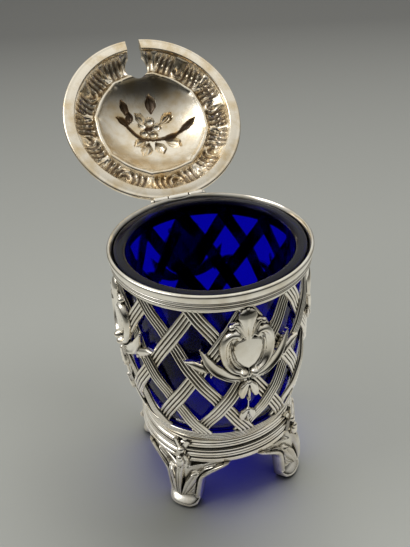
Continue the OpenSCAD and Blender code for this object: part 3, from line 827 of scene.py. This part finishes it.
# Each lobe of the leaf: its line, its half widths along it, and its height.
LOBES = [
    ([(0, 4.6), (0, 9.0), (0, 13.0), (0, 16.8)], [0.5, 0.8, 1.15, 1.1], 2.2),
    ([(0.6, 4.8), (1.9, 8.2), (3.1, 11.0), (3.9, 12.8)], [0.5, 1.2, 1.7, 1.4], 2.1),
    ([(0.9, 4.6), (2.9, 6.4), (4.3, 8.4), (4.9, 10.2)], [0.3, 0.9, 1.1, 0.8], 1.6),
    ([(1.0, 4.3), (2.8, 5.0), (4.3, 6.2)], [0.3, 0.65, 0.5], 1.2),
    ([(4.6, 13.0), (6.8, 14.8), (9.4, 16.4)], [0.5, 0.9, 0.4], 1.3),
]
LOBE_HOLLOW, LOBE_VEIN = 0.45, 0.25
KNEE_W = 3.4
EDGE_BEAD = 0.75


def follow(x, xs, ys):
    line = curve_through(list(zip(xs, ys)))
    return np.interp(x, line[:, 0], line[:, 1])


def half_width(z):
    return follow(z, OUTLINE_Z, OUTLINE_W)


def leaf_fan(aw, z):
    return np.max([leaf(aw, z, *lobe, LOBE_HOLLOW, LOBE_VEIN) for lobe in LOBES], axis=0)


def knee_lift(aw, z, edge):
    bulge = follow(np.clip(z, KNEE_Z[0], None), KNEE_Z, KNEE_D) * np.exp(-(aw / KNEE_W) ** 2)
    inside = ramp((edge - 1.4) / 0.4)
    gap = ramp((z - 15.2 - 0.22 * aw) / 0.8) * ramp((aw - 1.6) / 0.7) * ramp((7.6 - aw) / 1.2)
    field = -1.1 + 0.8 * bulge + leaf_fan(aw, z) * inside - 2.4 * gap
    bead = -0.4 + round_over((edge - EDGE_BEAD) / EDGE_BEAD) + 0.55 * bulge
    return np.maximum(field, np.where(edge < 2 * EDGE_BEAD, bead, field))


def foot_lift(w, z):
    aw = np.abs(w)
    half = half_width(z)
    slope = (half_width(z + 0.05) - half_width(z - 0.05)) / 0.1
    above = knee_lift(aw, z, (half - aw) / np.hypot(1, slope))
    toe = follow(np.clip(z, 0, TOE_Z[-1]), TOE_Z, TOE_D) * round_over((aw / (half + 0.5)) ** 2)
    toe = toe - 0.3 * (aw / half) ** 4
    rise = ramp((z - 2.6) / 1.4)
    return np.where(z < TOE_Z[-1], np.maximum(toe, above * rise + toe * (1 - rise)), above)


# %% Feet
WING_T = 2.2
TOP_GAP = 0.02
# How dark each foot is painted: the back dark, the front a little.
BACK_DARKENING, FRONT_DARKENING = 0.85, 0.18
# The curls of the leaf's tip: size, how far out, and how far above the foot.
TIP_CURLS = [((1.3, 1.3, 2.0), 1.1, 0.2), ((1.0, 0.9, 1.1), 1.5, 1.9)]


def foot():
    bm, flat, under = thick_grid(160, 130)
    z = (flat[:, 1] + 0.5) * (foot_h - TOP_GAP)
    w = 2 * flat[:, 0] * half_width(z)
    front = foot_lift(w, z)
    behind = np.minimum(-0.3 - WING_T, front - 0.5)
    put(bm, at_corner(w, corner_d(w) + np.where(under, behind, front), z))
    shown = ~under & (z > 0.6) & (z < foot_h - 0.6) & (np.abs(flat[:, 0]) < 0.48)
    bm.verts.ensure_lookup_table()
    soften(bm, [bm.verts[i] for i in np.flatnonzero(shown)], "xyz")
    paint(bm, np.where(under, BACK_DARKENING, FRONT_DARKENING))
    for size, out, above in TIP_CURLS:
        join(bm, corner_knob(size, out, foot_h + above))
    return bm


cast_four("foot", CORNERS, foot)

# %% [markdown]
# ## The lid's ring
# The lid is raised from a sheet and stiffened with a flat ring. The ring is spun shut, on the rim, then the
# spoon slot and the hollow for the hinge are cut out and it is swung open about the hinge.

# %% Lid ring
LID_GAP = 0.15
LID_RING_W, LID_RING_T = 3.8, 1.5
SLOT_W, SLOT_END_R, SLOT_L = 4.7, 3.8, 12.2
CUT_L, CUT_UNDER = 30, 5
lid_z = rim_z + LID_GAP
lid_ring_in_r = rim_r - LID_RING_W
slot_y = -(rim_r - SLOT_L + SLOT_END_R)
bead_r = LID_RING_T / 2


def cut_slot(bm):
    neck_turn = math.degrees(math.asin(SLOT_W / 2 / SLOT_END_R))
    outline = arc(0, slot_y, SLOT_END_R, neck_turn - 90, 270 - neck_turn, 48)
    outline += [(-SLOT_W / 2, slot_y - CUT_L), (SLOT_W / 2, slot_y - CUT_L)]
    keyhole = bmesh.new()
    floor = keyhole.faces.new([keyhole.verts.new((x, y, lid_z - CUT_UNDER)) for x, y in outline])
    top = bmesh.ops.extrude_face_region(keyhole, geom=[floor], use_keep_orig=True)["geom"]
    bmesh.ops.translate(keyhole, vec=(0, 0, CUT_L), verts=verts_in(top))
    return carve(bm, keyhole)


def swing_open(bm):
    bmesh.ops.rotate(bm, verts=bm.verts, cent=pin_at, matrix=Matrix.Rotation(-lid_open, 3, "X"))


ring_line = [(lid_ring_in_r, lid_z + 0.25), (lid_ring_in_r + 0.25, lid_z), (rim_r - 1.6, lid_z)]
ring_line += [(rim_r - 1.3, lid_z + 0.08)] + arc(rim_r - bead_r, lid_z + bead_r, bead_r, -100, 90, 12)
ring_line += [(lid_ring_in_r, lid_z + LID_RING_T)]
lid_ring = hollow_for_hinge(cut_slot(lathe(ring_line, 256)), share=1.08)
swing_open(lid_ring)
make_piece("lid_flat_ring", lid_ring, silver_gilt, "lid", ["lid_ring"])

# %% [markdown]
# ## The lid's crown
# The crown is one sheet, beaten up from inside, so that each hollow seen in the open lid is a bump on its
# back. It is spun from a radial line. Then each point of the sheet is raised by the relief at its place:
# eight shells of flutes round the cove, a border with a cusp between each two of them, and a spray of
# flowers on the dome.

# %% Flower spray
# Each leaf: its base, its tip and its half width.
DARK_LEAVES = [
    ((-7.2, -3.2), (-10.2, -5.6), 1.25), ((-6.6, -3.6), (-5.7, -7.4), 1.2),
    ((-7.0, -6.6), (-7.6, -11.0), 1.35), ((9.3, 2.9), (14.9, -0.2), 1.15),
    ((3.4, 3.9), (8.8, 3.2), 1.0), ((1.9, -6.2), (2.1, -11.8), 1.75),
]
PALE_LEAVES = [
    ((4.4, -2.2), (8.2, -4.6), 1.7), ((-1.6, -3.2), (-3.6, -6.6), 1.5), ((-2.6, 3.0), (-6.6, 4.8), 1.7),
    ((4.4, 4.4), (8.3, 8.2), 1.9), ((-1.6, 4.6), (-4.9, 9.3), 1.8), ((0.8, 4.8), (2.0, 9.6), 1.8),
]
SPRAY_STEM = [(-9.4, -4.6), (-7.6, -2.8), (-3.7, 2.0), (2.8, 3.6), (9.2, 2.9), (12.4, 1.4)]
PETALS, PETAL_AT = 5, 2.6


def leaves(x, y, places):
    shapes = []
    for base, tip, half in places:
        middle = (0.5 * (base[0] + tip[0]) + 0.3, 0.5 * (base[1] + tip[1]))
        shapes.append(leaf(x, y, [base, middle, tip], [0.35, half, half, 0.25], 1.6, vein=0.5))
    return shapes


def dark_spray(x, y):
    stem = leaf(x, y, SPRAY_STEM, [0.45, 0.6, 0.6, 0.5], 1.2)
    heart = ball(x, y, -0.1, -1.1, 1.5, 2.2, stretch=0.75)
    return np.max(leaves(x, y, DARK_LEAVES) + [stem, heart], axis=0)


def spray_field(x, y):
    petals = [ball(x, y, PETAL_AT * math.cos(turn), -0.9 + PETAL_AT * math.sin(turn), 1.5, 1.2)
              for turn in np.arange(PETALS) * math.tau / PETALS]
    return np.max(leaves(x, y, PALE_LEAVES) + petals + [dark_spray(x, y)], axis=0)


# %% Shells round the cove
SHELLS, SHELL_TURN, SHELL_R = 8, math.radians(15.6), 21.7
FLUTE, FLUTE_DEPTH = 1.8, 1.05
RIB_W = 0.8
CREASE_R, CREASE_Z, CROWN_Z, COVE_RISE = 17.5, 3.9, 10.4, 1.9
CUSP = 0.6
cove_r = lid_ring_in_r - 0.2
cap_rise = CROWN_Z - CREASE_Z
cap_rho = (CREASE_R ** 2 + cap_rise ** 2) / (2 * cap_rise)


def sector_bend(turn):
    sector = math.tau / SHELLS
    return (turn - SHELL_TURN) % sector - sector / 2


def crease_at(turn):
    cusp = np.abs(sector_bend(turn)) / (math.pi / SHELLS)
    return CREASE_R + CUSP * cusp ** 4 - 0.12


def from_slot(x, y):
    neck = np.where(y < slot_y, np.abs(x) - SLOT_W / 2, 99)
    return np.minimum(np.hypot(x, y - slot_y) - SLOT_END_R, neck)


def shell_field(r, turn, crease):
    bend = sector_bend(turn)
    along, inward, outward = bend * r, np.minimum(r - SHELL_R, 0), np.maximum(r - SHELL_R, 0)
    flutes = 0.5 - 0.5 * np.cos(math.tau * np.hypot(along, 0.95 * inward) / FLUTE)
    eye = ramp(1.6 - np.abs(along) / (0.6 + 0.5 * outward)) * ramp(outward / 0.6)
    rib = np.exp(-((np.abs(bend) - math.pi / SHELLS) * r / RIB_W) ** 2)
    fade = ramp((r - crease - 1.5) / 0.6) * ramp((cove_r - r) / 0.5)
    fade = fade * ramp((from_slot(r * np.sin(turn), -r * np.cos(turn)) - 1.0) / 0.8)
    return fade * (FLUTE_DEPTH * flutes * (1 - rib) * (1 - eye) - 0.35 * eye - 0.5 * rib)


# %% Heights of the crown
PULL_R = 16.0


def lid_height(r):
    dome = CROWN_Z - cap_rho + np.sqrt(cap_rho ** 2 - np.minimum(r, CREASE_R) ** 2)
    t = ramp((r - CREASE_R) / (cove_r - CREASE_R))
    cove = CREASE_Z + (LID_RING_T - CREASE_Z) * t + 4 * COVE_RISE * t * (1 - t)
    return np.where(r < CREASE_R, dome, cove)


def crown_height(x, y):
    r, turn = np.hypot(x, y), np.arctan2(x, -y)
    crease = crease_at(turn)
    pull = ramp((r - PULL_R) / (CREASE_R - PULL_R)) ** 2 * ramp((cove_r - r) / (cove_r - CREASE_R))
    border = 0.6 * np.exp(-((r - crease - 0.7) / 0.65) ** 2)
    by_slot = 0.45 * np.exp(-((from_slot(x, y) - 0.45) / 0.4) ** 2) * (r > CREASE_R) * (r < cove_r)
    sheet = lid_height(r - (crease - CREASE_R) * pull) - np.maximum(border, by_slot)
    return sheet + shell_field(r, turn, crease) + spray_field(x, y)


# %% Lid crown
LID_SHEET = 1.0
SPRAY_TARNISH, FLUTE_TARNISH = 0.78, 0.7


def paint_inside(bm):
    x, y, z = points_of(bm).T
    r, turn = np.hypot(x, y), np.arctan2(x, -y)
    dark = np.clip(1.5 * dark_spray(x, y) - 0.4, 0, SPRAY_TARNISH)
    dark = dark + np.clip(2.0 * shell_field(r, turn, crease_at(turn)) - 1.1, 0, FLUTE_TARNISH)
    inside = z - lid_z - crown_height(x, y) < 0.5 * LID_SHEET
    paint(bm, np.where(inside, dark, 0))


dome_radii, cove_radii = np.linspace(0, CREASE_R, 56), np.linspace(CREASE_R, cove_r, 36)[1:]
crown = bmesh.new()
line = [crown.verts.new((r, 0, 0)) for r in [*dome_radii, *cove_radii, rim_r - LID_RING_T]]
line += [crown.edges.new(pair) for pair in zip(line, line[1:])]
bmesh.ops.spin(crown, geom=line, axis=(0, 0, 1), cent=(0, 0, 0), angle=math.tau, steps=400, use_merge=True)
bmesh.ops.remove_doubles(crown, verts=crown.verts, dist=0.0005)
x, y, _ = points_of(crown).T
put(crown, np.stack([x, y, lid_z + crown_height(x, y)], -1))
thicken(crown, lambda p: setattr(p.co, "z", p.co.z + LID_SHEET))
crown = cut_slot(crown)
paint_inside(crown)
swing_open(crown)
make_piece("lid_beaten_crown", crown, silver_gilt, "lid", ["lid_crown"])

# %% [markdown]
# ## The spray on the outside
# On the lid's back the spray was chased sharper after it was beaten up: its leaves are a second, slightly
# higher relief that lies on the dome.

# %% Lid spray
CHASED_UP, SPRAY_SINK = 0.2, 0.3


def chased_field(x, y):
    raised = spray_field(x, y)
    return np.where(raised > 0.1, raised + CHASED_UP, 0)


spray = relief(chased_field, (-11, 15.5), (-12, 10))
x, y, lift = points_of(spray).T
lift = np.where(lift < 0, spray_field(x, y) - SPRAY_SINK, lift)
put(spray, np.stack([x, y, lid_z + lid_height(np.hypot(x, y)) + LID_SHEET + lift], -1))
swing_open(spray)
make_piece("lid_chased_spray", spray, silver_gilt, "lid", ["lid_spray"])

# %% [markdown]
# ## The hinge
# Three knuckles on one pin. A knuckle is rolled sheet, so it is spun with rounded ends round the pin's bore
# and laid along the axis. The two outer ones stand on a plate under the rim's lip, the middle one on a tab
# up the lid's edge.

# %% Hinge tools
PIN_R, PIN_PLAY = 0.6, 0.04
KNUCKLE_SOFT, KNUCKLE_GAP = 0.2, 0.35
PLATE_SOFT = 0.15


def along_pin(profile, steps):
    bm = lathe(profile, steps)
    bmesh.ops.rotate(bm, verts=bm.verts, matrix=Matrix.Rotation(math.radians(90), 3, "Y"))
    bmesh.ops.translate(bm, vec=pin_at, verts=bm.verts)
    return bm


def knuckle(start, end):
    bore_r, soft_r = PIN_R + PIN_PLAY, KNUCKLE_R - KNUCKLE_SOFT
    profile = [(bore_r, start), (soft_r, start), (KNUCKLE_R, start + KNUCKLE_SOFT)]
    profile += [(KNUCKLE_R, end - KNUCKLE_SOFT), (soft_r, end), (bore_r, end)]
    return along_pin(profile, 48)


def plate(low, high):
    low, high = Vector(low), Vector(high)
    bm = bmesh.new()
    bmesh.ops.create_cube(bm, size=1, matrix=Matrix.LocRotScale((low + high) / 2, None, high - low))
    bmesh.ops.bevel(bm, geom=bm.edges[:], offset=PLATE_SOFT, offset_type="OFFSET", affect="EDGES", segments=2,
                    profile=0.5, material=-1)
    return bm


# %% Hinge
half_l, half_mid = HINGE_L / 2, 0.2 * HINGE_L
inner = half_mid + KNUCKLE_GAP
plate_in_y, plate_out_y = rim_r - 1.2, rim_r + 0.9
body_leaf = bmesh.new()
for low_x, high_x in ((inner, half_l), (-half_l, -inner)):
    join(body_leaf, knuckle(low_x, high_x))
    join(body_leaf, plate((low_x, plate_in_y, cage_top_z + 1.6), (high_x, plate_out_y, hinge_z)))
join(body_leaf, plate((-half_l, plate_in_y, cage_top_z + 1.5), (half_l, plate_out_y, hinge_z - 1.65)))
make_piece("hinge_leaf_on_rim", body_leaf, silver, "cage", ["hinge_body_leaf"])

lid_leaf = knuckle(-half_mid, half_mid)
join(lid_leaf, plate((-half_mid, rim_r + 0.05, hinge_z), (half_mid, plate_out_y, lid_z + LID_RING_T)))
swing_open(lid_leaf)
make_piece("hinge_leaf_on_lid", lid_leaf, silver, "lid", ["hinge_lid_leaf"])

HEAD_R, HEAD_H = 0.72, 0.6
pin_end = half_l + 0.7 * PIN_R
pin_line = [(0, -pin_end - HEAD_H)] + arc(0, -pin_end, HEAD_R, -60, 50, 6)
pin_line += [(PIN_R, -half_l), (PIN_R, half_l)]
pin_line += arc(0, pin_end, HEAD_R, -50, 60, 6) + [(0, pin_end + HEAD_H)]
make_piece("hinge_pin_with_heads", along_pin(pin_line, 32), silver, "cage", ["hinge_pin"])

# %% [markdown]
# ## The table
# A plain grey sheet of card, darker as it goes back along the camera's view: painted shade for the light
# falling off. Silver and glass would look dull over grey, so to their rays the card is pale. Where the pot
# covers it, a painted contact shadow makes it nearly black, tinted with painted blue light from the liner.

# %% Table
NEAR_M, FAR_M = -0.06, 0.55
PALE_M, GREY_M = 0.06, 0.25
card, card_tree, card_shader = new_material("matt_grey_card")
card_place = add_node(card_tree, "TexCoord")["Object"]
card_turn = add_node(card_tree, "Mapping", {"Vector": card_place, "Rotation": (0, 0, -AZIMUTH)})
card_depth = add_node(card_tree, "SeparateXYZ", {"Vector": card_turn["Vector"]})["Y"]
# Painted shade: the card darkens going back, standing in for the light falling off.
card_painted_falloff = add_node(card_tree, "MapRange", {"Value": card_depth, "From Min": NEAR_M, "From Max": FAR_M})
card_colour = add_node(card_tree, "Mix", {0: card_painted_falloff["Result"], 6: srgb("#a9aaa4"), 7: srgb("#5e5e5b")},
                       data_type="RGBA")
# Painted contact shadow under and round the pot: near black, with painted blue for the light through the
# liner.
painted_contact_shadow = add_node(card_tree, "AmbientOcclusion", {"Distance": 1.5 * foot_h * MM}, samples=AO_SAMPLES)
out_of_painted_shadow = add_node(card_tree, "MapRange", {"Value": painted_contact_shadow["AO"], "From Min": 0.1, "From Max": 0.8})
card_colour = add_node(card_tree, "Mix", {0: out_of_painted_shadow["Result"], 6: srgb("#0a0a24"), 7: card_colour[2]},
                       data_type="RGBA")
# Metal sees a card that is pale near the pot; glass sees a pale one all over.
rays = add_node(card_tree, "LightPath")
from_pot = add_node(card_tree, "VectorMath", {0: card_place}, operation="LENGTH")["Value"]
card_off = add_node(card_tree, "MapRange", {"Value": from_pot, "From Min": PALE_M, "From Max": GREY_M})
mirrored = add_node(card_tree, "Mix", {0: card_off["Result"], 6: srgb("#dcdcd6"), 7: srgb("#6e6e69")},
                    data_type="RGBA")
for ray, seen in (("Is Glossy Ray", mirrored[2]), ("Is Transmission Ray", srgb("#d4d4ce"))):
    card_colour = add_node(card_tree, "Mix", {0: rays[ray], 6: card_colour[2], 7: seen}, data_type="RGBA")
fill(card_tree, card_shader, {"Base Color": card_colour[2], "Roughness": 0.7})

table_bm = bmesh.new()
bmesh.ops.create_grid(table_bm, x_segments=2, y_segments=2, size=3)
table = add_object("table", mesh_of("table", table_bm))
table.data.materials.append(card)
print("table:", card.name)

# %% [markdown]
# ## Studio light
# Silver shows what is round it, so the light is built as a room: a sky that is bright above and behind,
# paler towards the sides and dim in front, which gives the metal its dark drawing. A soft box at the left
# draws the bright lines, and a large one above lights the table. To the camera the sky is a plain grey.

# %% Sky
bpy.context.scene.view_settings.view_transform = "Standard"
SIDE_LIT, BACK_LIT = 0.26, 0.34
SKY_LEVEL = 0.45
# What each kind of ray adds. A ray through glass counts as glossy as well, so glass sees a dim sky.
RAY_LEVELS = {"Is Glossy Ray": 0.55, "Is Transmission Ray": -0.65, "Is Camera Ray": 0.55}
world = bpy.data.worlds.new("studio")
world.use_nodes = True
scene.world = world
sky_tree = world.node_tree
sky = sky_tree.nodes["Background"]
sky_rays = add_node(sky_tree, "LightPath")
sky_way = add_node(sky_tree, "TexCoord")["Generated"]
sky_parts = add_node(sky_tree, "SeparateXYZ", {"Vector": sky_way})
sky_side = add_node(sky_tree, "Math", {0: sky_parts["X"]}, operation="ABSOLUTE")[0]
sky_lit = sky_parts["Z"]
for way, more in ((sky_side, SIDE_LIT), (sky_parts["Y"], BACK_LIT)):
    sky_lit = add_node(sky_tree, "Math", {0: way, 1: more, 2: sky_lit}, operation="MULTIPLY_ADD")[0]
sky_up = add_node(sky_tree, "MapRange", {"Value": sky_lit, "From Min": 0.15, "From Max": 1.05})["Result"]
sky_colour = add_node(sky_tree, "Mix", {0: sky_up, 6: srgb("#1e1e1d"), 7: srgb("#f4f4f0")}, data_type="RGBA")
sky_colour = add_node(sky_tree, "Mix", {0: sky_rays["Is Camera Ray"], 6: sky_colour[2], 7: srgb("#6b6b68")},
                      data_type="RGBA")
sky_level = SKY_LEVEL
for ray, more in RAY_LEVELS.items():
    sky_level = add_node(sky_tree, "Math", {0: sky_rays[ray], 1: more, 2: sky_level},
                         operation="MULTIPLY_ADD")[0]
fill(sky_tree, sky, {"Color": sky_colour[2], "Strength": sky_level})
print("sky nodes:", len(sky_tree.nodes))

# %% Lamps
LAMPS_AIM = Vector((0, 0, 0.05))


def hang_lamp(name, shape, size, watts, place):
    light = bpy.data.lights.new(name, "AREA")
    light.shape, light.energy = shape, watts
    light.size, light.size_y = size
    lamp = add_object(name, light)
    lamp.location = place
    return lamp


side_lamp = hang_lamp("soft_box_left", "RECTANGLE", (0.44, 0.44), 1.6, (-0.55, 0.1, 0.6))
top_lamp = hang_lamp("soft_box_top", "RECTANGLE", (0.9, 0.6), 8.0, (0.3, 0.3, 0.9))
for lamp in (side_lamp, top_lamp):
    lamp.rotation_euler = (LAMPS_AIM - lamp.location).to_track_quat("-Z", "Y").to_euler()
    lamp.visible_transmission = False
# The metal shows the sky itself, so the lamp above stays out of its mirror.
top_lamp.visible_glossy = False

# A small lamp in the plinth's bore stands in for the light that falls through the blue liner.
bore_d = 2 * plinth_bore_r * MM
glow = hang_lamp("light_through_liner", "DISK", (bore_d, bore_d), 0.0037, (0, 0, (foot_h + 1) * MM))
glow.data.color = (0.01, 0.01, 1.0)
